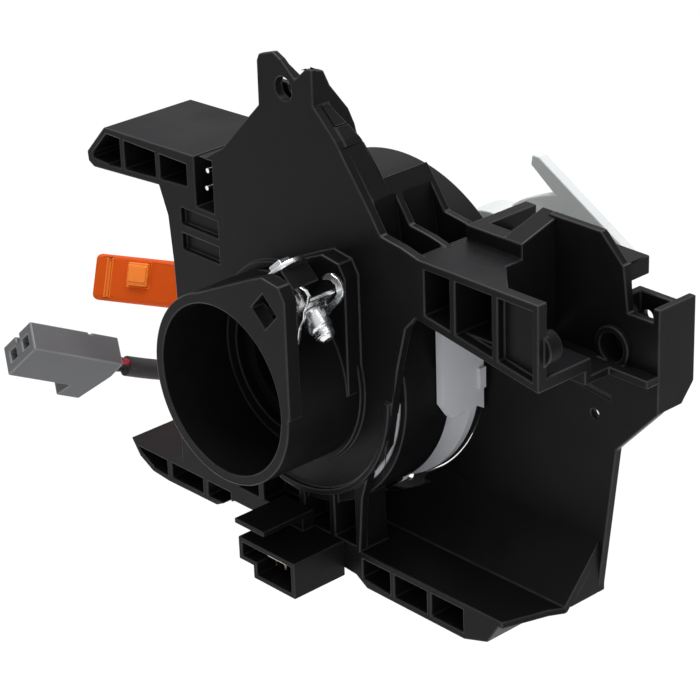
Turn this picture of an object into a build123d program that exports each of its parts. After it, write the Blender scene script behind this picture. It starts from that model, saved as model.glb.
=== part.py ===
"""Steering clock spring with its switch carrier, clamped on a steering column tube.

Millimetres. The origin is the centre of the collar's rear mouth. The column's axis is Y:
+Y points to the steering wheel, +X to the right seen from the column's side, +Z up.
"""
import os
from math import cos, pi, radians, sin, tan

from build123d import *

os.makedirs("parts", exist_ok=True)

# Column collar
bore_r = 22.0
collar_wall = 2.7
collar_depth = 23.5
rim_depth = 4.0
lug_top = 34.8
lug_flat_x = 25.2
key_hole = 6.3
key_hole_centre = (17.7, 26.2)
key_hole_turn = 47.0
pocket_depth = 15.0

# Main plate, ears and edges
wall = 2.0
plate_t = 2.5
ear_depth = 8.0
ear_hole_r = 2.9
ear_hole_centre = (0.9, 71.1)
plate_left = 44.0
ear_wall_x = 11.2
ear_web_depth = 4.0
cup_wall = 2.0

# Cassette and its shroud
cassette_r = 35.5
cassette_wall = 2.0
cassette_lip = 3.3
cassette_lip_back = 24.5
cassette_lip_t = 2.0
cassette_back_t = 2.2
cup_depth = 15.0
cover_depth = 11.5
cover_t = 1.8
cover_mouth_r = 28.0
shroud_gap = 3.0
shroud_wall = 2.2
shroud_front = 63.0
shroud_angles = (38.0, 200.0)
screw_angles = (62.0, 182.0, 285.0)
screw_offset = 2.4
screw_boss_r = 3.2
screw_head_r = 2.6
screw_depth = 12.0
screw_r = 1.5

# Turning hub
hub_r = 16.0
hub_bore_r = 12.5
hub_bore_relief = 0.7
hub_seat_depth = 25.0
hub_back = 22.5
hub_front = 101.0
journal_gap = 0.06
running_gap = 0.3
hub_disc_r = 30.0
hub_disc_t = 2.2
snap_ring_r = 21.5
snap_ring_t = 2.0
groove_depth = 1.0
groove_back = 23.8

# Flat cable
tape_t = 0.6
tape_turns = 4
tape_from_hub = 6.0
tape_margin = 0.7
end_block_t = 1.4
tape_back = 33.0
tape_width = 18.0

# Transport lock
lock_t = 3.0
lock_ring_wall = 2.4
lock_gap = 0.05
lock_skirt = 7.0
lock_arm = [(8.0, 34.6), (10.4, 34.6), (42.0, 16.4), (43.6, 13.6), (41.0, 11.0), (15.6, 25.9), (7.5, 31.8)]
lock_web = [(0.0, 18.3), (3.7, 20.9), (7.7, 22.8), (11.9, 24.5), (16.5, 25.8), (38.0, 13.2), (18.0, 0.0)]

# Left switch box
box_depth = 29.5
box_cell_depth = 20.0
box_wall = 1.8
slot_left = -34.6
slot_right = -27.6
slot_depth = 16.0
slot_pin_r = 0.6
slot_pin_length = 15.7

# Right switch beam and latch bay
beam_left = 45.7
beam_right = 83.5
beam_top = 40.2
beam_depth = 17.5
beam_cell_depth = 14.0
beam_wall = 2.0
beam_bottom_left = 25.0
beam_slope = 0.17
ridge_rib_step = 11.5
latch_top = 44.0
latch_back_top = 47.8
bay_frame_t = 3.0
bay_floor = 17.2
bay_hole_r = 3.6
bay_hole_centre = (81.7, 20.7)

# Side panel, its flap and the shelves under it
panel_y = 51.0
panel_t = 2.2
flap_right = 95.0
flap_depth = 12.5
flap_top = 33.5
flap_wall_y = 57.0
panel_right_top = 30.0
shelf_top = -45.6
shelf_bottom = -55.5
shelf_depth = 15.5
shelf_wall = 1.8
slope_top = -32.0
slope_right = 77.5
under_left = -24.0
under_depth = 7.5
skirt_left = -14.0

# Socket under the collar
socket_left = -4.4
socket_right = 16.6
socket_top = -44.6
socket_height = 10.0
socket_reach = 17.0
socket_wall = 1.3
socket_wall_back = 3.5
socket_pin = 0.8

# Clamp of the collar
clamp_y = 12.0
clamp_offset = 31.0
clamp_screw_r = 2.3
clamp_hex_r = 3.2
clamp_hex_t = 2.0
clamp_tip_t = 8.4
clip_t = 1.0
clip_width = 11.0
clip_plate_t = -0.8
boss_t = (-10.6, -4.8)
split_t = -1.4
screw_flange_t = 1.2
clamp_flange_r = 6.2
nut_r = 3.1
nut_length = 5.4

# Leads and plugs
sleeve_d = 6.2
wire_d = 1.9
orange_lead_d = 4.4
grey_plug = (31.0, 15.4, 9.6)
grey_cavities = (4.2, 11.0)
lock_piece = (6.2, 3.0, 6.8)
outlet_reach = 27.0
outlet_half = 9.5
orange_plug = (30.0, 10.0, 13.6)

collar_r = bore_r + collar_wall
plate_back = collar_depth
plate_front = plate_back + plate_t
cassette_back = plate_front
cup_r = cassette_r + running_gap + cup_wall
cassette_lip_r = cassette_r + cassette_lip
screw_circle = cassette_r + screw_offset
shroud_r = cassette_lip_r + shroud_gap + shroud_wall
cup_zone = screw_circle + screw_boss_r + 0.5
panel_way_r = cassette_lip_r + 2 * running_gap
journal_r = hub_r + journal_gap
groove_r = hub_r - groove_depth
shaft_way_r = hub_r + 2.5
boss_rim_r = cassette_r - running_gap
cup_front = plate_back + plate_t + cup_depth
lip_back = plate_back + cassette_lip_back
lip_front = lip_back + cassette_lip_t
cover_front = lip_front + cover_depth
hub_disc_front = cover_front - cover_t - running_gap
tape_r = hub_r + tape_from_hub
tape_room = cassette_r - cassette_wall - end_block_t - tape_margin - tape_t - tape_r
tape_pitch = tape_room / tape_turns


# Where the clamp screw runs: t along the screw, n outwards from the column's axis
clamp_turn = radians(49.0)
clamp_plane = Plane(origin=(0, clamp_y, 0), x_dir=(sin(clamp_turn), 0, -cos(clamp_turn)),
                    z_dir=(cos(clamp_turn), 0, sin(clamp_turn)))
# The clip's two cheeks, each with its hook: t and n in the clamp's plane
rear_cheek = [(-4.3, 37.1), (-3.5, 39.6), (-2.0, 40.5), (-0.2, 40.4), (0.6, 38.6), (1.2, 36.0), (2.4, 34.0)]
rear_cheek += [(3.0, 31.0), (5.2, 27.0), (5.0, 25.0), (3.2, 25.3), (1.6, 27.0), (0.5, 30.4), (-0.6, 32.9)]
rear_cheek += [(-0.6, 35.8), (-1.6, 37.9), (-2.6, 38.2), (-3.6, 37.7)]
front_cheek = [(-5.0, 35.9), (-4.7, 38.0), (-3.7, 39.7), (-1.8, 40.6), (0.1, 40.6), (1.5, 39.9), (2.2, 38.6)]
front_cheek += [(2.5, 35.7), (2.3, 31.0), (2.2, 28.6), (-0.6, 28.6), (-0.6, 31.4), (0.6, 32.0), (0.9, 35.2)]
front_cheek += [(0.6, 37.4), (-1.0, 38.6), (-2.8, 38.0), (-3.8, 36.9), (-4.3, 35.9)]

# Routes of the leads, from the outlet on the hub to the plugs
sleeve_route = [(-27.0, 68.0, -5.0), (-43.0, 68.0, -5.0), (-58.5, 73.5, -15.5), (-75.0, 82.5, -31.5),
                (-93.6, 90.8, -48.3), (-110.8, 94.8, -61.5), (-122.1, 90.1, -65.9), (-129.7, 80.8, -65.3)]
orange_route = [(-27.0, 68.0, 5.0), (-42.0, 68.0, 5.0), (-58.0, 74.0, -3.0), (-73.0, 81.0, -17.0)]
grey_plane = Plane(origin=(-129.7, 36.1, -42.8), x_dir=(0.161, 0.894, -0.417), z_dir=(-0.716, 0.396, 0.573))
orange_plane = Plane(origin=(-125.0, 54.2, -31.3), x_dir=(0.88, 0.475, 0), z_dir=(-0.211, 0.391, 0.896))
wire_places = (3.6, 10.5)
wire_gap = 6.0
for reach in (16.0, 0.0):
    orange_route.append(tuple(orange_plane.from_local_coords((orange_plug[0] + reach, orange_plug[1] / 2,
                                                              orange_plug[2] / 2))))
sleeve_end = grey_plane.from_local_coords((grey_plug[0] + 0.3 + wire_gap, sum(wire_places) / 2, grey_plug[2] / 2))
sleeve_route.append(tuple(sleeve_end))


def screw_plane(t):
    """The plane across the clamp screw at t."""
    return Plane(origin=clamp_plane.from_local_coords((t, 0, clamp_offset)), x_dir=clamp_plane.y_dir,
                 z_dir=clamp_plane.x_dir)


def rear_view(y):
    """The plane across the column at y, as seen from behind: sketch x is X and sketch y is Z."""
    return Plane(origin=(0, y, 0), x_dir=(1, 0, 0), z_dir=(0, -1, 0))


def slab(points, y_back, y_front, mode=Mode.ADD):
    """A closed outline in X and Z, from y_back to y_front."""
    with BuildSketch(rear_view(y_back)) as outline:
        with BuildLine():
            Polyline(*points, close=True)
        make_face()
    extrude(outline.sketch, amount=y_back - y_front, mode=mode)


def ring(y_back, y_front, r_out, r_in=0, mode=Mode.ADD, centre=(0, 0)):
    """A disc or ring across the column."""
    with BuildSketch(rear_view(y_back)) as outline:
        with Locations(centre):
            Circle(r_out)
            if r_in:
                Circle(r_in, mode=Mode.SUBTRACT)
    extrude(outline.sketch, amount=y_back - y_front, mode=mode)


def arc_wall(y_back, y_front, r_out, r_in, start, end, mode=Mode.ADD):
    """Part of a ring, between two angles measured from +X towards +Z."""
    with BuildSketch(rear_view(y_back)) as outline:
        with BuildLine():
            outer = CenterArc((0, 0), r_out, start, end - start)
            inner = CenterArc((0, 0), r_in, start, end - start)
            Line(outer @ 0, inner @ 0)
            Line(outer @ 1, inner @ 1)
        make_face()
    extrude(outline.sketch, amount=y_back - y_front, mode=mode)


def block(x0, x1, y0, y1, z0, z1, mode=Mode.ADD):
    """A box between its six faces."""
    with Locations(((x0 + x1) / 2, (y0 + y1) / 2, (z0 + z1) / 2)):
        Box(x1 - x0, y1 - y0, z1 - z0, mode=mode)


def finish(part, label):
    """Names the piece and writes it."""
    part.label = label
    export_step(part, f"parts/{label}.step")


# The carrier is one moulding. Its outlines are seen from behind.
lug_outline = [(-13, 20.9), (12.7, lug_top - 1.9), (17.2, lug_top), (23.1, lug_top - 0.8)]
lug_outline += [(lug_flat_x, lug_top - 4.2), (lug_flat_x, 0), (0, 0)]

ridge = [(11.4, 68.9), (18.6, 62.0), (29.9, 47.1), (33.1, 42.5), (39.8, 41.6), (beam_left, beam_top)]

plate_outline = [(-plate_left, shelf_top), (-plate_left, 3.1), (-45.4, 13.9), (-46.5, 25.9)]
plate_outline += [(-49.6, 33.7), (-23.0, 50.2), (-12.9, 60.5)]
plate_outline += ridge
plate_outline += [(44.8, 25.5), (40.8, 21.1), (37.6, 9.2), (35.1, -3.8), (33.3, -12.6), (30.0, -17.8)]
plate_outline += [(26.3, -22.7), (23.8, -30.3), (22.4, shelf_top)]

ears_outline = [(-12.9, 60.5), (-8.5, 64.9), (-8.4, 76.2), (-7.6, 77.9), (-2.5, 79.5), (0.3, 78.2)]
ears_outline += [(5.0, 74.3), (8.7, 77.6), (ear_wall_x, 78.0), (ear_wall_x, 68.9), (18.6, 62.0)]

box_outline = [(-71.2, 43.6), (-79.1, 35.2), (-78.8, 32.5), (-76.5, 31.3), (-49.4, 33.4)]
box_outline += [(-36.2, 33.4), (-36.2, 30.0), (-25.6, 30.0), (-25.6, 47.0), (-35.0, 45.0)]

shelf_outline = [(-69.2, shelf_top), (-65.8, -50.2), (-60.4, -53.0), (-53.6, -53.6), (-33.7, -53.4)]
shelf_outline += [(-26.1, -49.5), (-9.1, -49.5), (socket_left, -51.0), (20.6, -52.9), (24.5, -55.3)]
shelf_outline += [(58.8, shelf_bottom), (66.6, -53.1), (71.6, shelf_top)]

panel_outline = [(20.0, slope_top), (73.0, -38.0), (77.5, -44.5), (82.5, -6.0), (flap_right, 7.3)]
panel_outline += [(flap_right, panel_right_top), (85.5, panel_right_top), (84.0, latch_top - 3), (77.0, latch_back_top)]
panel_outline += [(61.0, latch_back_top), (61.0, 40.0), (45.0, 40.0), (41.0, 20.0)]
panel_outline += [(36.0, 0.0), (20.0, -20.0)]

skirt_outline = [(skirt_left, -37.0), (20.0, -30.0), (33.0, slope_top - 1)]
skirt_outline += [(24.0, shelf_top), (skirt_left, shelf_top)]


def beam_bottom(x):
    """Height of the beam's lower face at x."""
    return beam_bottom_left - beam_slope * (x - beam_left)


def box_bottom(x):
    """Height of the left box's lower face at x."""
    return 31.3 + 0.0775 * (x + 76.5)


def cells(spans, bottom, top, depth):
    """Pockets open to the rear, side by side, with a floor that may slope."""
    for left, right in spans:
        corners = [(left, bottom(left)), (right, bottom(right)), (right, top), (left, top)]
        slab(corners, plate_back - 1, plate_back + depth, mode=Mode.SUBTRACT)


with BuildPart() as carrier:
    # side panel with its skirt and the slope under it, cut round for the cassette
    slab(panel_outline, panel_y, panel_y + panel_t)
    slab(skirt_outline, panel_y, panel_y + panel_t)
    with BuildSketch(Plane.YZ.offset(under_left)) as slope:
        with BuildLine():
            Polyline((plate_back, shelf_top), (39.0, shelf_top), (panel_y, slope_top),
                     (panel_y + panel_t, slope_top), (panel_y + panel_t, slope_top - 2),
                     (40.0, shelf_top - shelf_wall), (plate_back, shelf_top - shelf_wall), close=True)
        make_face()
    extrude(slope.sketch, amount=slope_right - under_left)
    ring(cup_front, lip_back + 0.1, cup_zone, mode=Mode.SUBTRACT)
    ring(lip_back, panel_y + 4, panel_way_r, mode=Mode.SUBTRACT)
    block(under_left - 1, 20.0, 47.0, panel_y, -40.0, -30.0, mode=Mode.SUBTRACT)
    block(under_left - 1, skirt_left - 1, panel_y - 0.1, panel_y + 4, -40.0, -30.0, mode=Mode.SUBTRACT)
    for turn in screw_angles:
        spot = (screw_circle * cos(radians(turn)), screw_circle * sin(radians(turn)))
        ring(lip_back, panel_y + 4, screw_boss_r + 0.5, mode=Mode.SUBTRACT, centre=spot)

    # plate, shelf and the solid bodies behind the plate
    slab(plate_outline, plate_back, plate_front)
    slab(ears_outline, plate_back, plate_back + ear_depth)
    slab(shelf_outline, plate_back, plate_back + shelf_depth)
    slab(box_outline, plate_back, plate_back + box_depth)
    slab([(beam_left - 2, beam_top), (beam_right, beam_top), (beam_right, beam_bottom(beam_right)),
          (beam_left - 2, beam_bottom(beam_left))], plate_back, plate_back + beam_depth)
    slab([(-plate_left - 3.3, shelf_top), (-plate_left, shelf_top), (-plate_left, 3.0),
          (-43.4, 26.0), (-46.5, 26.0), (-45.4, 13.9), (-plate_left - 1.0, 3.1)],
         plate_back, plate_back + 20.0)

    block(under_left - 2, 22.4, plate_back, plate_back + under_depth + wall, shelf_top - 0.4, -22.0)

    # cup for the cassette, screw bosses, and the shroud over the top and the left
    ring(plate_front, cup_front, cup_r, cup_r - cup_wall)
    arc_wall(plate_front, shroud_front, shroud_r, shroud_r - shroud_wall, *shroud_angles)
    for turn in shroud_angles:
        arc_wall(plate_front, shroud_front - 16, shroud_r, cup_r - cup_wall + 0.4, turn - 2, turn + 2)
    for turn in screw_angles:
        spot = (screw_circle * cos(radians(turn)), screw_circle * sin(radians(turn)))
        ring(plate_front, lip_back, screw_boss_r, centre=spot)
    ring(plate_front, lip_back, cup_r - cup_wall, mode=Mode.SUBTRACT)

    # ridge wall and the two ribs between shroud and beam
    rib_outline = [(25.5, 52.9)] + ridge[2:] + [(beam_left, beam_bottom_left), (36.0, 23.0), (28.0, 31.6)]
    for step in (1, 2):
        rib_y = plate_back + step * ridge_rib_step
        slab(rib_outline, rib_y - wall, rib_y)
    slab([(25.5, 52.9), (28.4, 49.1), (31.4, 30.6), (28.0, 31.6)], plate_front, plate_back + 2 * ridge_rib_step)
    slab([(16.0, 64.6), (18.6, 62.0), (28.4, 49.1), (26.2, 46.6), (14.0, 60.0)],
         plate_front, plate_back + ear_depth)

    # corner under the slope, its end wall, and the flap on the right of the panel
    with BuildSketch(Plane.XY.offset(shelf_bottom - 1)) as corner:
        with BuildLine():
            Polyline((71.6, plate_back - 1), (90.0, plate_back - 1), (90.0, 47.0), (77.5, 47.0),
                     (77.5, 39.1), (75.5, 35.5), (71.6, plate_back), close=True)
        make_face()
    extrude(corner.sketch, amount=20.0, mode=Mode.SUBTRACT)
    with BuildSketch(Plane.YZ.offset(slope_right - wall)) as end_wall:
        with BuildLine():
            Polyline((41.0, shelf_top - 0.9), (52.0, slope_top - 2), (panel_y + panel_t, slope_top - 2),
                     (panel_y + panel_t, shelf_top - 0.9), close=True)
        make_face()
    extrude(end_wall.sketch, amount=wall)
    flap_front = panel_y + flap_depth
    block(flap_right - wall, flap_right, panel_y, flap_front, 7.3, flap_top)
    block(82.0, flap_right, flap_wall_y, flap_wall_y + wall, 14.0, flap_top)
    block(82.0, 82.0 + wall, panel_y, flap_wall_y + wall, 14.0, flap_top)
    with BuildSketch(Plane.YZ.offset(flap_right - 20)) as flap_corner:
        with BuildLine():
            Polyline((flap_front + 1, 6.0), (flap_front + 1, 14.0), (flap_front, 12.0),
                     (flap_front - 3.5, 8.0), (flap_front - 5, 6.0), close=True)
        make_face()
    extrude(flap_corner.sketch, amount=21, mode=Mode.SUBTRACT)

    # latch frame and bay at the right
    block(beam_left - 0.7, 63.0, 39.8, 44.4, beam_top - 1, latch_top)
    block(beam_left - 0.7, 48.6, 39.8, 60.0, latch_top - 4, latch_top)
    block(beam_left - 0.7, beam_left + 1.3, 39.8, panel_y + 1, beam_bottom_left, latch_top)
    with BuildSketch(Plane.YZ.offset(57.0)) as latch_bar:
        with BuildLine():
            Polyline((39.8, latch_top), (53.2, latch_back_top), (53.2, latch_back_top - 3.5),
                     (39.8, latch_top - 4), close=True)
        make_face()
    extrude(latch_bar.sketch, amount=6.0)
    with BuildSketch(Plane.YZ.offset(61.0)) as bay_wall:
        with BuildLine():
            Polyline((39.8, latch_top), (53.2, latch_back_top), (53.2, 18.0), (39.8, beam_bottom(61.0)),
                     close=True)
        make_face()
    extrude(bay_wall.sketch, amount=wall)
    block(61.0, beam_right, plate_back + beam_depth - 2, plate_back + beam_depth, bay_floor - wall, 20.5)
    block(61.0, beam_right, plate_back + beam_depth - 2, panel_y + 1, bay_floor - wall, bay_floor)
    block(72.4, 84.0, panel_y - 1, 60.0, 36.6, 41.2)
    block(beam_right - 1, flap_right, panel_y - 4, panel_y + 1, bay_floor - wall, bay_floor)
    with BuildSketch(Plane.XY.offset(beam_bottom(77.0) + 2)) as bay:
        with BuildLine():
            Polyline((71.6, plate_back + bay_frame_t), (63.0, plate_back + 11.2), (63.0, panel_y),
                     (flap_right, panel_y), (flap_right, plate_back + bay_frame_t), close=True)
        make_face()
    extrude(bay.sketch, amount=24.0, mode=Mode.SUBTRACT)
    with BuildSketch(rear_view(plate_back + bay_frame_t - 1)) as bay_boss:
        with Locations((81.5, 28.3)):
            Circle(4.0)
        with Locations((76.5, 28.3)):
            Rectangle(10.2, 10.0, mode=Mode.SUBTRACT)
    extrude(bay_boss.sketch, amount=-4.0)
    ring(panel_y - 1.4, panel_y + 6.0, bay_hole_r + 1.6, centre=bay_hole_centre)

    # rear openings of box, beam and shelf
    cells([(-70.4, -64.9), (-63.1, -50.4), (-48.6, -37.8)],
          lambda x: max(box_bottom(x), 31.6) + box_wall, 42.0, box_cell_depth)
    slab([(-70.4, 42.0), (-76.6, 35.4), (-76.6, 34.0), (-70.4, 33.8)],
         plate_back - 1, plate_back + box_cell_depth, mode=Mode.SUBTRACT)
    block(slot_left, slot_right, plate_back - 1, plate_back + slot_depth, 31.4, 45.4, mode=Mode.SUBTRACT)
    cells([(47.5, 55.6)], lambda x: beam_bottom(x) + beam_wall, beam_top - beam_wall, beam_cell_depth)
    cells([(57.5, 69.0)], lambda x: beam_bottom(x) + beam_wall, beam_top - beam_wall, 2.8)
    with BuildSketch(Plane.XY.offset(beam_bottom(57.5) + beam_wall)) as deep_cell:
        with BuildLine():
            Polyline((57.5, plate_back + 2), (69.0, plate_back + 2), (69.0, plate_back + 2.8),
                     (61.0, plate_back + 10.5), (61.0, plate_back + beam_cell_depth),
                     (57.5, plate_back + beam_cell_depth), close=True)
        make_face()
    extrude(deep_cell.sketch, amount=beam_top - beam_wall - beam_bottom(57.5) - beam_wall, mode=Mode.SUBTRACT)
    cells([(71.0, 81.6)], lambda x: beam_bottom(x) + beam_wall, beam_top - beam_wall, bay_frame_t - 0.8)
    slab([(-66.3, -47.4), (-65.0, -48.9), (-59.9, -51.7), (-54.0, -52.2), (-54.0, -47.4)],
         plate_back - 1, plate_back + shelf_depth - wall, mode=Mode.SUBTRACT)
    cells([(-52.0, -39.0), (-37.0, -27.6)], lambda x: -51.9, shelf_top - shelf_wall, shelf_depth - wall)
    cells([(23.2, 33.0), (34.6, 46.0), (47.6, 58.5)],
          lambda x: max(shelf_bottom + shelf_wall, -51.1 - 0.615 * (x - 20.6)),
          shelf_top - shelf_wall, shelf_depth - wall)
    slab([(60.3, -53.4), (62.6, -52.4), (67.6, -47.9), (67.6, shelf_top - shelf_wall),
          (60.3, shelf_top - shelf_wall)], plate_back + wall, plate_back + shelf_depth + 1, mode=Mode.SUBTRACT)
    for left, right in ((under_left, -16.0), (-14.0, 0.2), (2.2, 11.4), (13.4, 21.0)):
        for cell_back, cell_front, inner_r in ((plate_back - 1, plate_back + 1.5, boss_rim_r),
                                               (plate_back + 1.4, plate_back + under_depth, cup_r)):
            with BuildSketch(rear_view(cell_back)) as under_cell:
                with BuildLine():
                    Polyline((left, shelf_top + 1.2), (right, shelf_top + 1.2), (right, -20.0), (left, -20.0),
                             close=True)
                make_face()
                Circle(inner_r, mode=Mode.SUBTRACT)
            extrude(under_cell.sketch, amount=cell_back - cell_front, mode=Mode.SUBTRACT)

    # recesses in the plate, slots in the panel, ear hole and the hollow of the ears
    for bottom in (25.0, 18.0):
        block(-41.0, -26.6, plate_back - 1, plate_back + 1.5, bottom, bottom + 4.6, mode=Mode.SUBTRACT)
    slab([(68.1, 7.8), (68.1, 9.0), (80.7, 7.4), (80.7, 6.2)], panel_y - 1, panel_y + 4, mode=Mode.SUBTRACT)
    ring(panel_y - 1, panel_y + 4, 1.2, mode=Mode.SUBTRACT, centre=(75.7, 1.2))
    ring(panel_y - 3, panel_y + 4.6, bay_hole_r, mode=Mode.SUBTRACT, centre=bay_hole_centre)
    ring(flap_wall_y - 1, flap_wall_y + 3, 1.5, mode=Mode.SUBTRACT, centre=(86.2, 27.6))
    with BuildSketch(rear_view(plate_front)) as ear_hollow:
        with BuildLine():
            Polyline(*ears_outline, close=True)
        make_face()
        offset(amount=-wall, mode=Mode.REPLACE)
    extrude(ear_hollow.sketch, amount=-ear_depth, mode=Mode.SUBTRACT)
    with BuildSketch(Plane.YZ.offset(-20.0)) as ear_slope:
        with BuildLine():
            Polyline((plate_back + 1.8, 81.0), (plate_back + 1.8, 77.0), (plate_front, 75.2),
                     (plate_back + ear_depth, 61.0), (plate_back + 12, 61.0), (plate_back + 12, 81.0), close=True)
        make_face()
    extrude(ear_slope.sketch, amount=45.0, mode=Mode.SUBTRACT)
    with BuildSketch(Plane.YZ.offset(ear_wall_x - wall)) as ear_wall:
        with BuildLine():
            Polyline((plate_back, 78.0), (27.4, 77.1), (29.3, 73.0), (34.9, 65.8), (36.8, 61.4), (37.6, 58.2),
                     (37.6, 42.0), (plate_back, 42.0), close=True)
        make_face()
    extrude(ear_wall.sketch, amount=wall)
    block(-8.3, ear_wall_x, plate_back + ear_web_depth, plate_back + ear_web_depth + 1.5, 55.0, 71.0)
    ring(plate_back - 1, plate_back + ear_depth + 1, ear_hole_r, mode=Mode.SUBTRACT, centre=ear_hole_centre)

    # collar tube with its lug, split under the clamp, and the raised rim round its root
    ring(0, plate_front, collar_r)
    ring(plate_back - 1.4, plate_back, collar_r + 1.4)
    arc_wall(plate_back - 1.0, plate_back, boss_rim_r, boss_rim_r - 1.6, -100, 0)
    slab(lug_outline, 0, rim_depth)
    slab(lug_outline, rim_depth + pocket_depth, plate_back)
    with BuildSketch(clamp_plane.offset(bore_r + 0.5)) as clamp_boss:
        with Locations(((boss_t[0] + boss_t[1]) / 2, 0)):
            Rectangle(boss_t[1] - boss_t[0], clip_width - 2 * clip_t - 0.6)
    extrude(clamp_boss.sketch, amount=clamp_offset + 4.4 - bore_r - 0.5)
    with BuildSketch(clamp_plane.offset(bore_r - 2)) as split:
        with Locations(((boss_t[1] + split_t) / 2, 0)):
            Rectangle(split_t - boss_t[1], pocket_depth)
    extrude(split.sketch, amount=collar_wall + 3, mode=Mode.SUBTRACT)
    with BuildSketch(screw_plane(boss_t[0] - 1)) as screw_way:
        Circle(clamp_screw_r + 0.3)
    extrude(screw_way.sketch, amount=boss_t[1] - boss_t[0] + 2, mode=Mode.SUBTRACT)
    with BuildSketch(rear_view(-1)) as key:
        with Locations(Location(key_hole_centre, key_hole_turn)):
            Rectangle(key_hole, key_hole)
    extrude(key.sketch, amount=-(rim_depth + 2), mode=Mode.SUBTRACT)
    ring(-1, collar_depth - 2.5, bore_r, mode=Mode.SUBTRACT)
    ring(collar_depth - 3, plate_back + 0.2, shaft_way_r, mode=Mode.SUBTRACT)
    ring(plate_back + 0.2, plate_front + 1, snap_ring_r + 0.7, mode=Mode.SUBTRACT)

    # screw holes
    for turn in screw_angles:
        spot = (screw_circle * cos(radians(turn)), screw_circle * sin(radians(turn)))
        ring(lip_back - screw_depth, lip_back + 1, screw_r, mode=Mode.SUBTRACT, centre=spot)

# The moulding is written as the walls and boxes that it is made of, which meet face to face
collar_front = plate_back - 1.4
shroud_zone = (shroud_angles[0] - 2.5, shroud_angles[1] + 2.5)
with BuildPart() as column_collar:
    add(carrier.part)
    block(-60, 60, -10, collar_front, -60, 60, mode=Mode.INTERSECT)
finish(column_collar.part, "column_collar")

with BuildPart() as cup_space:
    ring(plate_front, lip_back + 0.1, cup_zone)
    arc_wall(plate_front, shroud_front + 1, shroud_r, cup_r - cup_wall - 2, *shroud_zone)
with BuildPart() as cassette_cup:
    add(carrier.part)
    add(cup_space.part, mode=Mode.INTERSECT)
finish(cassette_cup.part, "cassette_cup")

with BuildPart() as rest:
    add(carrier.part)
    block(-60, 60, -10, collar_front, -60, 60, mode=Mode.SUBTRACT)
    add(cup_space.part, mode=Mode.SUBTRACT)


def share(label, points, y_back, y_front):
    """Writes the share of the moulding inside an outline and takes it off what is left."""
    with BuildPart() as space:
        slab(points, y_back, y_front)
    with BuildPart() as piece:
        add(rest.part)
        add(space.part, mode=Mode.INTERSECT)
    finish(piece.part, label)
    with rest:
        add(space.part, mode=Mode.SUBTRACT)


share("side_panel", [(-30, -20), (30, -20), (30, 60), (100, 60), (100, -60), (-30, -60)], panel_y, 70)
share("left_switch_box", [(-90, 29.9), (-25.6, 29.9), (-25.6, 60), (-90, 60)], 20, 70)
share("right_switch_beam", [(45.0, 10), (100, 10), (100, 60), (45.0, 60)], 20, 60)
share("mount_ears", [(-20, 60.5), (25, 60.5), (25, 90), (-20, 90)], 20, 60)
share("left_shelf", [(-90, shelf_top), (-25, shelf_top), (-25, -60), (-90, -60)], 20, 60)
share("right_shelf", [(21.4, -31), (90, -31), (90, -60), (21.4, -60)], 20, 60)
share("under_shelf", [(-25, -31), (21.4, -31), (21.4, -60), (-25, -60)], 20, 60)
finish(rest.part, "main_plate")

# Cassette: grey cup with its lip, and the black cover
with BuildPart() as cassette:
    ring(cassette_back, lip_front, cassette_r, cassette_r - cassette_wall)
    ring(cassette_back, cassette_back + cassette_back_t, cassette_r, journal_r)
    ring(cassette_back, cassette_back + 5.0, journal_r + 2.4, journal_r)
    ring(lip_back, lip_front, cassette_lip_r, cassette_r - cassette_wall)
    for turn in screw_angles:
        spot = (screw_circle * cos(radians(turn)), screw_circle * sin(radians(turn)))
        ring(lip_back, lip_front, screw_boss_r, centre=spot)
    with BuildSketch(Plane.YZ.offset(cup_r + running_gap)) as side_block:
        with BuildLine():
            Polyline((36.0, 20.0), (36.0, -3.6), (38.9, -7.8), (47.0, -7.2), (lip_front, -9.0),
                     (lip_front, 20.0), close=True)
        make_face()
    extrude(side_block.sketch, amount=2.1)
    block(cup_r, cup_r + 3.2, lip_back, lip_front, -3.0, 2.5)
    ring(lip_front - 12, lip_front + 1, cassette_r - cassette_wall, mode=Mode.SUBTRACT)
    for turn in screw_angles:
        spot = (screw_circle * cos(radians(turn)), screw_circle * sin(radians(turn)))
        ring(lip_back - 1, lip_front + 1, screw_r + 0.2, mode=Mode.SUBTRACT, centre=spot)
    block(-3.0, 3.0, lip_back - 1, lip_front + 1, cassette_lip_r - 1.0, cassette_lip_r + 4, mode=Mode.SUBTRACT)
finish(cassette.part, "cassette_body")

with BuildPart() as cover:
    ring(lip_front, cover_front, cassette_r, cassette_r - cassette_wall)
    ring(lip_front, lip_front + 1.6, cassette_lip_r + running_gap, cassette_r - cassette_wall)
    ring(cover_front - cover_t, cover_front, cassette_r, cover_mouth_r)
    for turn in screw_angles:
        spot = (screw_circle * cos(radians(turn)), screw_circle * sin(radians(turn)))
        ring(lip_front - 1, cover_front + 1, screw_head_r + 0.5, mode=Mode.SUBTRACT, centre=spot)
finish(cover.part, "cassette_cover")

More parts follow.
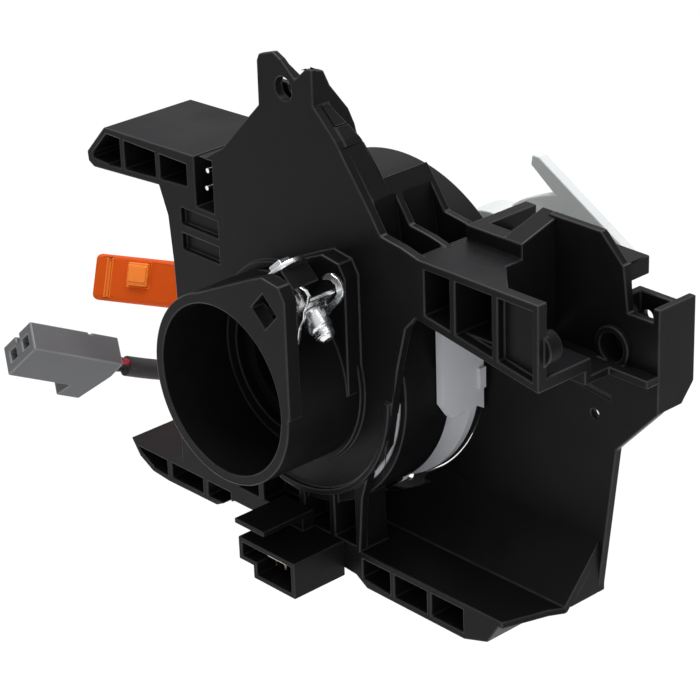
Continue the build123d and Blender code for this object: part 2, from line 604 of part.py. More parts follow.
# Turning hub with its disc, keys and cancelling lugs
with BuildPart() as hub:
    ring(hub_back, hub_front, hub_r)
    ring(hub_disc_front - hub_disc_t, hub_disc_front, hub_disc_r)
    ring(hub_disc_front - 1, cover_front + 1.2, cover_mouth_r - 0.8)
    for start in (78, 258):
        arc_wall(cover_front, cover_front + 8.0, hub_r + 6.0, hub_r - 1, start, start + 24)
    for turn in (30, 90, 270, 330):
        turn = radians(turn)
        rib = Plane(origin=(0, cover_front, 0), x_dir=(cos(turn), 0, sin(turn)), z_dir=(-sin(turn), 0, cos(turn)))
        with BuildSketch(rib) as web:
            with BuildLine():
                Polyline((hub_r - 1, 0), (hub_r + 5.0, 0), (hub_r - 0.2, 14.0), (hub_r - 1, 14.0), close=True)
            make_face()
        extrude(web.sketch, amount=0.8, both=True)
    ring(groove_back, groove_back + snap_ring_t, hub_r + 1, groove_r, mode=Mode.SUBTRACT)
    ring(hub_back - 1, hub_front + 1, hub_bore_r, mode=Mode.SUBTRACT)
    ring(hub_back - 1, hub_front - hub_seat_depth, hub_bore_r + hub_bore_relief, mode=Mode.SUBTRACT)
finish(hub.part, "rotor_hub")

with BuildPart() as snap_ring:
    arc_wall(groove_back + 0.1, groove_back + snap_ring_t - 0.1, snap_ring_r, groove_r, 100, 440)
finish(snap_ring.part, "rotor_clip_ring")

# Flat cable: one spiral of half circles whose centres alternate
def spiral_line(radius):
    """Draws the half circles of one face of the cable and gives its two ends."""
    centre = 0
    arcs = []
    for half in range(2 * tape_turns):
        arcs.append(CenterArc((centre, 0), radius, 180 * (half % 2), 180))
        radius += tape_pitch / 2
        centre += tape_pitch / 2 if half % 2 == 0 else -tape_pitch / 2
    return arcs[0] @ 0, arcs[-1] @ 1


with BuildPart() as tape:
    with BuildSketch(rear_view(tape_back)) as spiral:
        with BuildLine():
            inside = spiral_line(tape_r)
            outside = spiral_line(tape_r + tape_t)
            Line(inside[0], outside[0])
            Line(inside[1], outside[1])
        make_face()
    extrude(spiral.sketch, amount=-tape_width)
finish(tape.part, "flat_cable")

# Blocks at the two ends of the flat cable
with BuildPart() as inner_block:
    arc_wall(tape_back + 1, hub_disc_front - hub_disc_t, tape_r - 0.4, hub_r, 70, 104)
finish(inner_block.part, "cable_end_block")

with BuildPart() as outer_block:
    arc_wall(tape_back, lip_front, cassette_r - cassette_wall, cassette_r - cassette_wall - end_block_t, 262, 282)
finish(outer_block.part, "stator_end_block")

with BuildPart() as screws:
    for turn in screw_angles:
        spot = (screw_circle * cos(radians(turn)), screw_circle * sin(radians(turn)))
        ring(lip_back - screw_depth + 1, lip_front, screw_r, centre=spot)
        ring(lip_front, lip_front + 2.0, screw_head_r, centre=spot)
        ring(lip_front + 1.0, lip_front + 2.5, 0.9, mode=Mode.SUBTRACT, centre=spot)
finish(screws.part, "cassette_screws")

# Guide on the turning hub that the two leads come out of
outlet_front = cover_front + 12.0
with BuildPart() as outlet:
    with BuildSketch(Plane.XY.offset(-outlet_half)) as outlet_plan:
        with BuildLine():
            Polyline((-outlet_reach, cover_front + 1.2), (-outlet_reach, outlet_front - 2),
                     (-outlet_reach + 2, outlet_front), (-hub_r + 3, outlet_front),
                     (-hub_r + 3, cover_front + 1.2), close=True)
        make_face()
    extrude(outlet_plan.sketch, amount=2 * outlet_half)
    fillet(outlet.edges().filter_by(Axis.Y), radius=1.6)
    block(-outlet_reach - 1, -outlet_reach + 1.2, outlet_front - 3, outlet_front + 1, -0.6, 0.6, mode=Mode.SUBTRACT)
    ring(cover_front, outlet_front + 1, hub_r, mode=Mode.SUBTRACT)
finish(outlet.part, "lead_outlet")

# Transport lock on the end of the hub
with BuildPart() as lock:
    ring(hub_front - lock_skirt, hub_front + lock_t, hub_r + lock_gap + lock_ring_wall)
    slab(lock_web, hub_front, hub_front + lock_t)
    slab(lock_arm, hub_front, hub_front + lock_t)
    fillet(lock.edges().filter_by(Axis.Y).group_by(Axis.X)[-1], radius=1.0)
    ring(hub_front - lock_skirt - 1, hub_front, hub_r + lock_gap, mode=Mode.SUBTRACT)
    ring(hub_front - 1, hub_front + lock_t + 1, hub_bore_r + 0.8, mode=Mode.SUBTRACT)
finish(lock.part, "transport_lock")

# Clamp of the collar: folded clip, barrel nut and screw
with BuildPart() as clip:
    with BuildSketch(clamp_plane.offset(collar_r + 0.4)) as plate:
        with Locations((clip_plate_t + clip_t / 2, 0)):
            Rectangle(clip_t, clip_width)
    extrude(plate.sketch, amount=clamp_offset + 6.4 - collar_r - 0.4)
    for across, outline in ((-clip_width / 2, rear_cheek), (clip_width / 2 - clip_t, front_cheek)):
        side = Plane(origin=clamp_plane.from_local_coords((0, across, 0)), x_dir=clamp_plane.x_dir,
                     z_dir=clamp_plane.y_dir)
        with BuildSketch(side) as cheek:
            with BuildLine():
                Polyline(*[(t, -n) for t, n in outline], close=True)
            make_face()
        extrude(cheek.sketch, amount=clip_t)
    with BuildSketch(screw_plane(clip_plate_t - 1)) as clip_hole:
        Circle(clamp_screw_r + 0.15)
    extrude(clip_hole.sketch, amount=clip_t + 2, mode=Mode.SUBTRACT)
finish(clip.part, "clamp_clip")

with BuildPart() as nut:
    nut_start = clip_plate_t + clip_t
    with BuildSketch(screw_plane(nut_start)) as barrel:
        Circle(nut_r)
        Circle(clamp_screw_r, mode=Mode.SUBTRACT)
    extrude(barrel.sketch, amount=nut_length)
    chamfer(nut.edges().filter_by(GeomType.CIRCLE).sort_by(lambda e: -e.radius)[0:2], length=0.5)
finish(nut.part, "clamp_nut")

with BuildPart() as clamp_screw:
    with BuildSketch(screw_plane(boss_t[0] - screw_flange_t)) as flange:
        Circle(clamp_flange_r)
    extrude(flange.sketch, amount=screw_flange_t)
    with BuildSketch(screw_plane(boss_t[0] - screw_flange_t - clamp_hex_t)) as head:
        RegularPolygon(clamp_hex_r, 6)
    extrude(head.sketch, amount=clamp_hex_t)
    with BuildSketch(screw_plane(boss_t[0])) as shank:
        Circle(clamp_screw_r)
    extrude(shank.sketch, amount=clamp_tip_t - boss_t[0])
    chamfer(clamp_screw.faces().sort_by(Axis((0, 0, 0), clamp_plane.x_dir))[-1].edges(), length=0.9)
finish(clamp_screw.part, "clamp_screw")

# Pins beside the left switch box
with BuildPart() as slot_pins:
    for spot in ((-29.6, 42.4), (-30.2, 37.6)):
        ring(plate_back + slot_depth - slot_pin_length, plate_back + slot_depth, slot_pin_r, centre=spot)
finish(slot_pins.part, "slot_terminals")

# Socket under the collar
socket_back = plate_back - socket_reach
socket_bottom = socket_top - socket_height
with BuildPart() as socket:
    slab([(socket_left, socket_top), (socket_right, socket_top), (socket_right, socket_bottom),
          (socket_left + 5.4, socket_bottom), (socket_left + 5.4, socket_bottom + 3.6),
          (socket_left, socket_bottom + 3.6)], socket_back, plate_back)
    slab([(socket_left + socket_wall, socket_top - socket_wall), (socket_right - socket_wall, socket_top - socket_wall),
          (socket_right - socket_wall, socket_bottom + socket_wall),
          (socket_left + 5.4 + socket_wall, socket_bottom + socket_wall),
          (socket_left + 5.4 + socket_wall, socket_bottom + 3.6 + socket_wall),
          (socket_left + socket_wall, socket_bottom + 3.6 + socket_wall)],
         socket_back - 1, plate_back - socket_wall_back, mode=Mode.SUBTRACT)
    block(socket_left - 1.1, socket_left + 10, socket_back, plate_back, socket_top + 3.4, socket_top + 4.8)
    block(socket_left, socket_left + 10, plate_back - 4.0, plate_back, socket_top - 1, socket_top + 4.0)
finish(socket.part, "socket_shell")

socket_floor = plate_back - socket_wall_back
with BuildPart() as socket_pins:
    block(5.0, 11.5, socket_back + 1.5, socket_floor, socket_top - 2.6, socket_top - 1.9)
    for x in (-1.6, 1.6):
        block(x - socket_pin / 2, x + socket_pin / 2, socket_floor - 9.0, socket_floor, -48.6, -47.2)
    for x in (4.6, 8.2, 11.8):
        block(x - socket_pin / 2, x + socket_pin / 2, socket_floor - 9.0, socket_floor, -51.2, -49.8)
finish(socket_pins.part, "socket_terminals")


# Plugs and their leads
def tube(points, diameter, label):
    """A round cord along straight runs joined by arcs as large as the runs allow."""
    corners = [Vector(*p) for p in points]
    runs = [b - a for a, b in zip(corners, corners[1:])]
    radii = []
    for before, after in zip(runs, runs[1:]):
        turn = radians(before.get_angle(after))
        radii.append(0.45 * min(before.length, after.length) / tan(turn / 2))
    print(label, [tuple(round(v, 1) for v in p) for p in points])
    print(label, "radii", [round(r, 1) for r in radii])
    with BuildPart() as cord:
        with BuildLine() as route:
            FilletPolyline(*corners, radius=radii)
        with BuildSketch(Plane(origin=route.line @ 0, z_dir=route.line % 0)):
            Circle(diameter / 2)
        sweep()
    length = route.wire().length
    print(label, "length", round(length, 1), "ratio", round(cord.part.volume / (length * pi * diameter ** 2 / 4), 4))
    finish(cord.part, label)


tube(sleeve_route, sleeve_d, "lead_sleeve")
tube(orange_route, orange_lead_d, "orange_lead")
for across, label in zip(wire_places, ("red_wire", "black_wire")):
    inner = 0.45 * (across - sum(wire_places) / 2)
    start = grey_plane.from_local_coords((grey_plug[0] - 1.5, across, grey_plug[2] / 2))
    end = grey_plane.from_local_coords((grey_plug[0] + 0.3 + wire_gap + 1.5, sum(wire_places) / 2 + inner,
                                        grey_plug[2] / 2))
    with BuildPart() as wire:
        with BuildSketch(Plane(origin=start, z_dir=end - start)):
            Circle(wire_d / 2)
        extrude(amount=(end - start).length)
    finish(wire.part, label)

length, width, height = grey_plug
with BuildPart() as grey:
    with BuildSketch(grey_plane) as grey_body:
        with BuildLine():
            Polyline((0, 0), (length, 0), (length + 0.4, 7.4), (length - 2.6, width + 6.0),
                     (length - 10.6, width + 6.0), (length - 9.4, width), (0, width), close=True)
        make_face()
    extrude(grey_body.sketch, amount=height)
    with BuildSketch(grey_plane.offset(height)) as grey_steps:
        for across in (width / 2,):
            with Locations((3.0, across)):
                Rectangle(8.0, 1.8)
    extrude(grey_steps.sketch, amount=-2.4, mode=Mode.SUBTRACT)
    mouth = Plane(origin=grey_plane.origin, x_dir=grey_plane.y_dir, z_dir=grey_plane.x_dir)
    with BuildSketch(mouth) as grey_mouths:
        with Locations(*[(across, height / 2) for across in grey_cavities]):
            Rectangle(3.4, 3.6)
    extrude(grey_mouths.sketch, amount=length - 6.0, mode=Mode.SUBTRACT)
    with BuildSketch(grey_plane.offset(height - 0.6)) as grey_band:
        with Locations((length - 10.0, width / 2)):
            Rectangle(1.0, width + 2)
    extrude(grey_band.sketch, amount=1.0, mode=Mode.SUBTRACT)
finish(grey.part, "grey_connector")

with BuildPart() as grey_pins:
    with BuildSketch(mouth.offset(3.0)) as sleeves:
        with Locations(*[(across, height / 2) for across in grey_cavities]):
            Rectangle(2.6, 2.8)
    extrude(sleeves.sketch, amount=length - 9.0)
    with BuildSketch(mouth.offset(2.0)) as bores:
        with Locations(*[(across, height / 2) for across in grey_cavities]):
            Rectangle(1.7, 1.9)
    extrude(bores.sketch, amount=12.0, mode=Mode.SUBTRACT)
finish(grey_pins.part, "grey_terminals")

length, thick, height = orange_plug
with BuildPart() as orange:
    with BuildSketch(orange_plane) as orange_body:
        with Locations((length / 2, thick / 2)):
            Rectangle(length, thick)
    extrude(orange_body.sketch, amount=height)
    fillet(orange.edges().filter_by(Axis(orange_plane.origin, orange_plane.z_dir)), radius=0.8)
    left_end = orange.faces().sort_by(Axis(orange_plane.origin, orange_plane.x_dir))[0]
    fillet(left_end.edges().filter_by(Axis(orange_plane.origin, orange_plane.y_dir)), radius=1.6)
    with BuildSketch(orange_plane.offset(1.2)) as orange_groove:
        with Locations((4.6, 0)):
            Rectangle(0.9, 1.2)
    extrude(orange_groove.sketch, amount=height - 2.4, mode=Mode.SUBTRACT)
    with BuildSketch(orange_plane.offset(height - lock_piece[2] - 1.6)) as orange_seat:
        with Locations((11.0 + lock_piece[0] / 2, 0)):
            Rectangle(lock_piece[0], 3.0)
    extrude(orange_seat.sketch, amount=lock_piece[2], mode=Mode.SUBTRACT)
    face = Plane(origin=orange_plane.origin, x_dir=orange_plane.y_dir, z_dir=orange_plane.x_dir)
    with BuildSketch(face) as orange_mouth:
        with Locations((thick / 2 + 1.0, height / 2)):
            Rectangle(thick - 4.0, height - 3.6)
    extrude(orange_mouth.sketch, amount=9.0, mode=Mode.SUBTRACT)
finish(orange.part, "orange_connector")

with BuildPart() as orange_key:
    with BuildSketch(orange_plane.offset(height - lock_piece[2] - 1.6)) as key_body:
        with Locations((11.0 + lock_piece[0] / 2, 0)):
            Rectangle(lock_piece[0], 3.0)
    extrude(key_body.sketch, amount=lock_piece[2])
    with BuildSketch(orange_plane.offset(height - lock_piece[2] - 0.6)) as key_cap:
        with Locations((11.0 + lock_piece[0] / 2, -1.5)):
            Rectangle(lock_piece[0] - 0.6, 0.8)
    extrude(key_cap.sketch, amount=lock_piece[2] - 2.0)
finish(orange_key.part, "orange_lock")
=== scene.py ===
"""Steering clock spring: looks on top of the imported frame. Metres, same frame as the solids."""
import math

import bmesh
import bpy
from mathutils import Matrix, Vector
from mathutils.bvhtree import BVHTree


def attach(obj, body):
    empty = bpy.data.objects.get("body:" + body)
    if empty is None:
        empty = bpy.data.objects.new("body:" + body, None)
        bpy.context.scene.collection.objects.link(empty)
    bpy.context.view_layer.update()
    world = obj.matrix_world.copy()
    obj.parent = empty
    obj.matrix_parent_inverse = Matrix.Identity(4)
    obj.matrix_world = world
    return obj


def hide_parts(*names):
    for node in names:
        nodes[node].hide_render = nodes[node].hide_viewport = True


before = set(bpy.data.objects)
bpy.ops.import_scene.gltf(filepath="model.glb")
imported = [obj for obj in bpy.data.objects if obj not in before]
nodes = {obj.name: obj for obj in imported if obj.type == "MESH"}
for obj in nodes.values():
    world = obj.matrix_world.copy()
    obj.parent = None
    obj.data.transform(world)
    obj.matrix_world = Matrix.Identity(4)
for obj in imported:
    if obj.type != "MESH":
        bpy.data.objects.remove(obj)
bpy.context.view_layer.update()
MM = 0.001

# Camera, fitted to the collar's rim and the moulding's square edges
CAMERA_PLACE = (0.4428, -0.3560, 0.2741)
CAMERA_AZIMUTH, CAMERA_ELEVATION, CAMERA_ROLL = (math.radians(angle) for angle in (48.0, 25.0, -2.0))
FOCAL_PIXELS = 2600.0
PICTURE_PIXELS = 700.0
SENSOR_WIDTH = 36.0

# Rounding of edges, in mm; a node that is not named here keeps its sharp edges
SHARP_ANGLE = math.radians(35)
SHELL_ROUNDING = 0.35
ROUNDING = {
    "clamp_clip": 0.2, "clamp_nut": 0.25, "clamp_screw": 0.2, "socket_shell": 0.25, "transport_lock": 0.4,
    "orange_connector": 0.5, "orange_lock": 0.3, "grey_connector": 0.45,
}
WELD_DISTANCE = 0.000002
JOIN_DISTANCE = 0.00002
CORNER_GRID = 1e6

ROUGHNESS_SPREAD = 0.06
SKY_BELOW, SKY_ABOVE = 0.18, 0.85
FLOOR_HEIGHT = -0.16
FLOOR_HALF = 3.0
FLOOR_GLOW = 0.85
LIGHT_TARGET = (0, 0.04, 0)


def link(data, name):
    """Puts a new object with this data in the scene."""
    obj = bpy.data.objects.new(name, data)
    bpy.context.collection.objects.link(obj)
    return obj


def camera():
    azimuth, elevation, roll = CAMERA_AZIMUTH, CAMERA_ELEVATION, CAMERA_ROLL
    back = Vector((math.sin(azimuth) * math.cos(elevation), -math.cos(azimuth) * math.cos(elevation),
                   math.sin(elevation)))
    right = Vector((math.cos(azimuth), math.sin(azimuth), 0.0))
    up = back.cross(right)
    c, s = math.cos(roll), math.sin(roll)
    rotation = Matrix((c * right + s * up, -s * right + c * up, back)).transposed()
    data = bpy.data.cameras.new("camera")
    data.sensor_width = SENSOR_WIDTH
    data.lens = FOCAL_PIXELS * SENSOR_WIDTH / PICTURE_PIXELS
    data.clip_start = 0.01
    data.clip_end = 20.0
    cam = link(data, "camera")
    cam.matrix_world = Matrix.Translation(Vector(CAMERA_PLACE)) @ rotation.to_4x4()
    bpy.context.scene.camera = cam


# Materials
def material(name, color, rough, spec=0.5, metal=0.0, grain=0.0, grain_scale=900.0, mottle=0.0,
             mottle_scale=60.0, bump=0.1, coat=0.0):
    """A moulded or plated surface: soft colour variation, roughness variation and fine grain."""
    mat = bpy.data.materials.new(name)
    mat.use_nodes = True
    tree, links = mat.node_tree.nodes, mat.node_tree.links
    shader = tree["Principled BSDF"]
    shader.inputs["Metallic"].default_value = metal
    shader.inputs["Specular IOR Level"].default_value = spec
    shader.inputs["Coat Weight"].default_value = coat
    shader.inputs["Coat Roughness"].default_value = 0.2
    place = tree.new("ShaderNodeTexCoord")

    def noise(scale, detail):
        texture = tree.new("ShaderNodeTexNoise")
        texture.inputs["Scale"].default_value = scale
        texture.inputs["Detail"].default_value = detail
        links.new(place.outputs["Object"], texture.inputs["Vector"])
        return texture.outputs["Fac"]

    def spread(value, low, high):
        """Stretches the middle of a noise to the range from low to high."""
        remap = tree.new("ShaderNodeMapRange")
        remap.inputs["From Min"].default_value = 0.3
        remap.inputs["From Max"].default_value = 0.7
        remap.inputs["To Min"].default_value = low
        remap.inputs["To Max"].default_value = high
        links.new(value, remap.inputs["Value"])
        return remap.outputs["Result"]

    cloud = noise(mottle_scale, 5.0)
    fine = noise(grain_scale, 3.0)

    shade = tree.new("ShaderNodeVectorMath")
    shade.operation = "SCALE"
    shade.inputs[0].default_value = color
    links.new(spread(cloud, 1.0 - mottle, 1.0 + mottle), shade.inputs["Scale"])
    links.new(shade.outputs["Vector"], shader.inputs["Base Color"])

    smooth, dull = max(0.05, rough - ROUGHNESS_SPREAD), min(1.0, rough + ROUGHNESS_SPREAD)
    links.new(spread(cloud, smooth, dull), shader.inputs["Roughness"])

    relief = tree.new("ShaderNodeBump")
    relief.inputs["Strength"].default_value = bump
    relief.inputs["Distance"].default_value = 0.0001 + grain * MM
    links.new(fine, relief.inputs["Height"])
    links.new(relief.outputs["Normal"], shader.inputs["Normal"])
    return mat


black = material("black_moulding", (0.0060, 0.0058, 0.0066), 0.42, spec=0.08, grain=0.05,
                 grain_scale=1400.0, mottle=0.14, bump=0.22)
# Lighter copy of the black moulding for the rounded edges: a painted highlight where the edges catch the
# light
black_highlight_edge = material("black_highlight_edge", (0.0190, 0.0188, 0.0205), 0.38, spec=0.22, grain=0.03, mottle=0.3,
                      mottle_scale=180.0, bump=0.15)
cover_black = material("black_cover", (0.006, 0.006, 0.0065), 0.5, spec=0.08, grain=0.04, mottle=0.1,
                       bump=0.2)
grey = material("natural_grey", (0.56, 0.57, 0.60), 0.42, spec=0.4, grain=0.03, mottle=0.04, bump=0.15)
lock_grey = material("lock_grey", (0.56, 0.58, 0.58), 0.45, spec=0.4, grain=0.03, mottle=0.05, bump=0.15)
plug_grey = material("plug_grey", (0.100, 0.102, 0.108), 0.45, spec=0.2, grain=0.04, mottle=0.06, bump=0.2)
# Lighter copy of the plug's grey for its rounded edges: a painted highlight
plug_highlight_edge = material("plug_highlight_edge", (0.17, 0.172, 0.18), 0.4, spec=0.3, grain=0.03, mottle=0.1, bump=0.15)
orange = material("orange_moulding", (0.56, 0.070, 0.003), 0.42, spec=0.12, grain=0.03, mottle=0.05,
                  bump=0.15)
# Lighter copy of the orange moulding for its rounded edges: a painted highlight
orange_highlight_edge = material("orange_highlight_edge", (0.76, 0.17, 0.015), 0.36, spec=0.3, grain=0.02, mottle=0.08)
light_orange = material("orange_lock", (0.80, 0.20, 0.02), 0.4, spec=0.3, grain=0.03, mottle=0.05, bump=0.15)
zinc = material("zinc_plate", (0.78, 0.79, 0.80), 0.26, metal=1.0, grain=0.02, grain_scale=2600.0,
                mottle=0.08, mottle_scale=260.0, bump=0.18)
tinned = material("tinned_pin", (0.80, 0.79, 0.76), 0.22, metal=1.0, grain=0.01, mottle=0.06)
brass = material("tinned_brass", (0.74, 0.66, 0.48), 0.28, metal=1.0, grain=0.01, mottle=0.08)
film = material("cable_film", (0.50, 0.36, 0.14), 0.2, mottle=0.06, bump=0.05, coat=0.3)
red = material("red_insulation", (0.30, 0.012, 0.02), 0.4, spec=0.4, grain=0.02, mottle=0.08)
dark = material("black_insulation", (0.02, 0.018, 0.018), 0.4, spec=0.4, grain=0.02, mottle=0.08)
sleeve = material("woven_sleeve", (0.024, 0.021, 0.022), 0.62, spec=0.3, grain=0.12, grain_scale=2200.0,
                  mottle=0.3, mottle_scale=500.0, bump=0.6)

# The nodes that are one black moulding in the real object
shell = ["main_plate", "column_collar", "mount_ears", "cassette_cup", "left_switch_box", "right_switch_beam",
         "side_panel", "left_shelf", "right_shelf", "under_shelf"]
finishes = {name: black for name in shell} | {
    "cassette_body": grey, "cassette_cover": cover_black, "rotor_hub": cover_black,
    "rotor_clip_ring": cover_black, "flat_cable": film, "cable_end_block": grey, "stator_end_block": grey,
    "lead_outlet": cover_black, "cassette_screws": zinc, "socket_shell": black, "socket_terminals": brass,
    "slot_terminals": tinned, "clamp_clip": zinc, "clamp_nut": zinc, "clamp_screw": zinc,
    "transport_lock": lock_grey, "orange_connector": orange, "orange_lock": light_orange,
    "grey_connector": plug_grey, "grey_terminals": brass, "red_wire": red, "black_wire": dark,
}
# Finishes whose rounded edges get a lighter copy of themselves: a painted highlight
painted_edge_highlights = {black: black_highlight_edge, plug_grey: plug_highlight_edge, orange: orange_highlight_edge}


# Rounded edges, with a painted highlight colour on the rounding
def mark_edges(mesh, others):
    """Marks one share's sharp edges for rounding, but keeps those where it meets another share sharp."""
    corners = [tuple(round(c * CORNER_GRID) for c in v.co) for v in mesh.vertices]
    facing = {}
    for face in mesh.polygons:
        for a, b in face.edge_keys:
            facing.setdefault(frozenset((corners[a], corners[b])), []).append(face.normal.copy())
    weights = []
    creases = []
    for edge in mesh.edges:
        a, b = edge.vertices
        sides = facing.get(frozenset((corners[a], corners[b])), [])
        middle = (mesh.vertices[a].co + mesh.vertices[b].co) / 2
        sharp = len(sides) == 2 and sides[0].angle(sides[1], 0.0) > SHARP_ANGLE
        joined = sharp and any(tree.find_nearest(middle, JOIN_DISTANCE)[0] is not None for tree in others)
        weights.append(1.0 if sharp and not joined else 0.0)
        creases.append(joined)
    mark = mesh.attributes.new("bevel_weight_edge", "FLOAT", "EDGE")
    mark.data.foreach_set("value", weights)
    mesh.edges.foreach_set("use_edge_sharp", creases)


def mark_shell():
    trees = {}
    for name in shell:
        mesh = nodes[name].data
        trees[name] = BVHTree.FromPolygons([v.co for v in mesh.vertices], [f.vertices for f in mesh.polygons])
    for name in shell:
        mark_edges(nodes[name].data, [trees[other] for other in shell if other != name])


def dress(name, finish):
    """Gives a carried-over solid its finish and lightly rounded edges; where the finish has a lighter copy,
    the rounding carries it as a painted highlight.
    """
    obj = nodes[name]
    obj.data.materials.clear()
    obj.data.materials.append(finish)
    if finish in painted_edge_highlights:
        obj.data.materials.append(painted_edge_highlights[finish])
    width = SHELL_ROUNDING if name in shell else ROUNDING.get(name)
    if width is None:
        return
    weld = obj.modifiers.new("weld", "WELD")
    weld.merge_threshold = WELD_DISTANCE
    bevel = obj.modifiers.new("edges", "BEVEL")
    # The rounding faces take the lighter copy where there is one: a painted highlight
    bevel.material = 1 if finish in painted_edge_highlights else -1
    bevel.use_clamp_overlap = False
    bevel.loop_slide = False
    bevel.width = width * MM
    bevel.segments = 2
    bevel.limit_method = "WEIGHT" if name in shell else "ANGLE"
    bevel.angle_limit = SHARP_ANGLE
    even = obj.modifiers.new("even", "WEIGHTED_NORMAL")
    even.keep_sharp = True


# Leads: smooth splines along the routes of the solids' tubes
def lead(name, points, diameter, finish, body, node):
    curve = bpy.data.curves.new(name, "CURVE")
    curve.dimensions = "3D"
    curve.bevel_depth = diameter / 2
    curve.bevel_resolution = 6
    curve.resolution_u = 12
    curve.use_fill_caps = True
    line = curve.splines.new("NURBS")
    line.points.add(len(points) - 1)
    for point, place in zip(line.points, points):
        point.co = (*place, 1.0)
    line.order_u = 3
    line.use_endpoint_u = True
    curve.materials.append(finish)
    obj = link(curve, name)
    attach(obj, body)
    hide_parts(node)


def leads():
    sleeve_points = [(-0.0270, 0.0680, -0.0050), (-0.0430, 0.0680, -0.0050), (-0.0585, 0.0735, -0.0155),
                     (-0.0750, 0.0825, -0.0315), (-0.0936, 0.0908, -0.0483), (-0.1108, 0.0948, -0.0615),
                     (-0.1221, 0.0901, -0.0659), (-0.1297, 0.0808, -0.0653), (-0.1319, 0.0699, -0.0606)]
    lead("lead_sleeve_soft", sleeve_points, 0.0062, sleeve, "rotor", "lead_sleeve")
    orange_points = [(-0.0270, 0.0680, 0.0050), (-0.0420, 0.0680, 0.0050), (-0.0580, 0.0740, -0.0030),
                     (-0.0730, 0.0810, -0.0170), (-0.0881, 0.0826, -0.0274), (-0.1022, 0.0750, -0.0274)]
    lead("orange_lead_soft", orange_points, 0.0044, sleeve, "rotor", "orange_lead")


# Thread on the clamp screw's tip, where it comes out of the nut
def screw_thread():
    """Sweeps a trapezoid along a helix; lengths in mm, from the foot of the screw's axis."""
    lean = math.radians(49.0)
    along = Vector((math.sin(lean), 0.0, -math.cos(lean)))
    outwards = Vector((math.cos(lean), 0.0, math.sin(lean)))
    across = Vector((0.0, 1.0, 0.0))
    foot = Vector((0.0, 12.0, 0.0)) + 31.0 * outwards
    start, taper_start, end = 5.8, 7.1, 7.9
    pitch, steps_per_turn = 0.7, 28
    root, crest, tip_crest, least_depth = 2.1, 2.55, 1.75, 0.3
    half_root, half_crest = 0.45, 0.08
    mesh = bmesh.new()
    rings = []
    for step in range(round((end - start) / pitch * steps_per_turn) + 1):
        angle = 2 * math.pi * step / steps_per_turn
        place = start + pitch * step / steps_per_turn
        fall = max(0.0, place - taper_start) / (end - taper_start)
        top = crest + (tip_crest - crest) * fall
        low = min(root, top - least_depth)
        out = math.cos(angle) * outwards + math.sin(angle) * across
        profile = ((-half_root, low), (-half_crest, top), (half_crest, top), (half_root, low))
        rings.append([mesh.verts.new(MM * (foot + (place + shift * pitch) * along + radius * out))
                      for shift, radius in profile])
    for ring, after in zip(rings, rings[1:]):
        for i in range(4):
            mesh.faces.new((ring[i], ring[(i + 1) % 4], after[(i + 1) % 4], after[i]))
    mesh.faces.new(rings[0][::-1])
    mesh.faces.new(rings[-1])
    bmesh.ops.recalc_face_normals(mesh, faces=mesh.faces)
    data = bpy.data.meshes.new("screw_thread")
    mesh.to_mesh(data)
    mesh.free()
    data.materials.append(zinc)
    thread = link(data, "screw_thread")
    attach(thread, "carrier")


# Room: pale floor and soft lights
def sky():
    """A white background whose light is strongest from above, with little from below."""
    world = bpy.data.worlds.new("room")
    world.use_nodes = True
    bpy.context.scene.world = world
    tree, links = world.node_tree.nodes, world.node_tree.links
    background = tree["Background"]
    background.inputs["Color"].default_value = (1, 1, 1, 1)
    path = tree.new("ShaderNodeLightPath")
    seen = tree.new("ShaderNodeMath")
    seen.operation = "MAXIMUM"
    links.new(path.outputs["Is Camera Ray"], seen.inputs[0])
    links.new(path.outputs["Is Transmission Ray"], seen.inputs[1])
    way = tree.new("ShaderNodeTexCoord")
    split = tree.new("ShaderNodeSeparateXYZ")
    links.new(way.outputs["Generated"], split.inputs["Vector"])
    slope = tree.new("ShaderNodeMapRange")
    slope.inputs["From Min"].default_value = -0.3
    slope.inputs["From Max"].default_value = 0.9
    slope.inputs["To Min"].default_value = SKY_BELOW
    slope.inputs["To Max"].default_value = SKY_ABOVE
    links.new(split.outputs["Z"], slope.inputs["Value"])
    level = tree.new("ShaderNodeMix")
    links.new(seen.outputs["Value"], level.inputs[0])
    links.new(slope.outputs["Result"], level.inputs[2])
    level.inputs[3].default_value = 1.0
    links.new(level.outputs[0], background.inputs["Strength"])


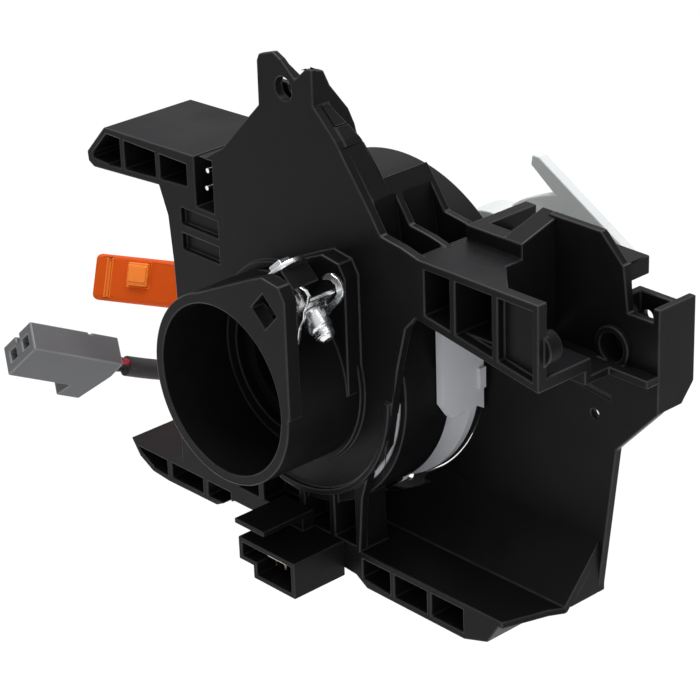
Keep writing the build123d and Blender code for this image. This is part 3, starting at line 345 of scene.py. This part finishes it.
def ground():
    """A pale floor that looks almost as white as the background, but still takes the shadow."""
    mesh = bpy.data.meshes.new("floor")
    half, height = FLOOR_HALF, FLOOR_HEIGHT
    mesh.from_pydata([(-half, -half, height), (half, -half, height), (half, half, height),
                      (-half, half, height)], [], [(0, 1, 2, 3)])
    mat = bpy.data.materials.new("pale_floor")
    mat.use_nodes = True
    tree, links = mat.node_tree.nodes, mat.node_tree.links
    shader = tree["Principled BSDF"]
    shader.inputs["Base Color"].default_value = (0.9, 0.9, 0.9, 1)
    shader.inputs["Roughness"].default_value = 0.9
    shader.inputs["Specular IOR Level"].default_value = 0.0
    path = tree.new("ShaderNodeLightPath")
    glow = tree.new("ShaderNodeEmission")
    glow.inputs["Strength"].default_value = 1.0
    share = tree.new("ShaderNodeMath")
    share.operation = "MULTIPLY"
    share.inputs[1].default_value = FLOOR_GLOW
    mix = tree.new("ShaderNodeMixShader")
    links.new(path.outputs["Is Camera Ray"], share.inputs[0])
    links.new(share.outputs["Value"], mix.inputs["Fac"])
    links.new(shader.outputs["BSDF"], mix.inputs[1])
    links.new(glow.outputs["Emission"], mix.inputs[2])
    links.new(mix.outputs["Shader"], tree["Material Output"].inputs["Surface"])
    mesh.materials.append(mat)
    floor = link(mesh, "floor")


def emitter(name, place, size, power, color=(1, 1, 1)):
    """A rectangular lamp that faces the part."""
    data = bpy.data.lights.new(name, "AREA")
    data.shape = "RECTANGLE"
    data.size, data.size_y = size
    data.energy = power
    data.color = color
    light = link(data, name)
    way = Vector(LIGHT_TARGET) - Vector(place)
    light.matrix_world = Matrix.Translation(place) @ way.to_track_quat("-Z", "Y").to_matrix().to_4x4()


camera()
mark_shell()
for name, finish in finishes.items():
    dress(name, finish)
leads()
screw_thread()
sky()
ground()
emitter("top_light", (-0.1, 0.15, 0.9), (0.9, 0.7), 9.0)
emitter("back_light", (-0.75, 0.8, 0.6), (0.9, 0.5), 0.9, (1.0, 0.94, 1.0))
emitter("front_light", (0.9, -0.5, 0.35), (0.5, 0.5), 1.6)
emitter("left_light", (-0.6, -0.8, 0.5), (0.5, 0.6), 0.4)
bpy.context.scene.view_settings.view_transform = "Standard"
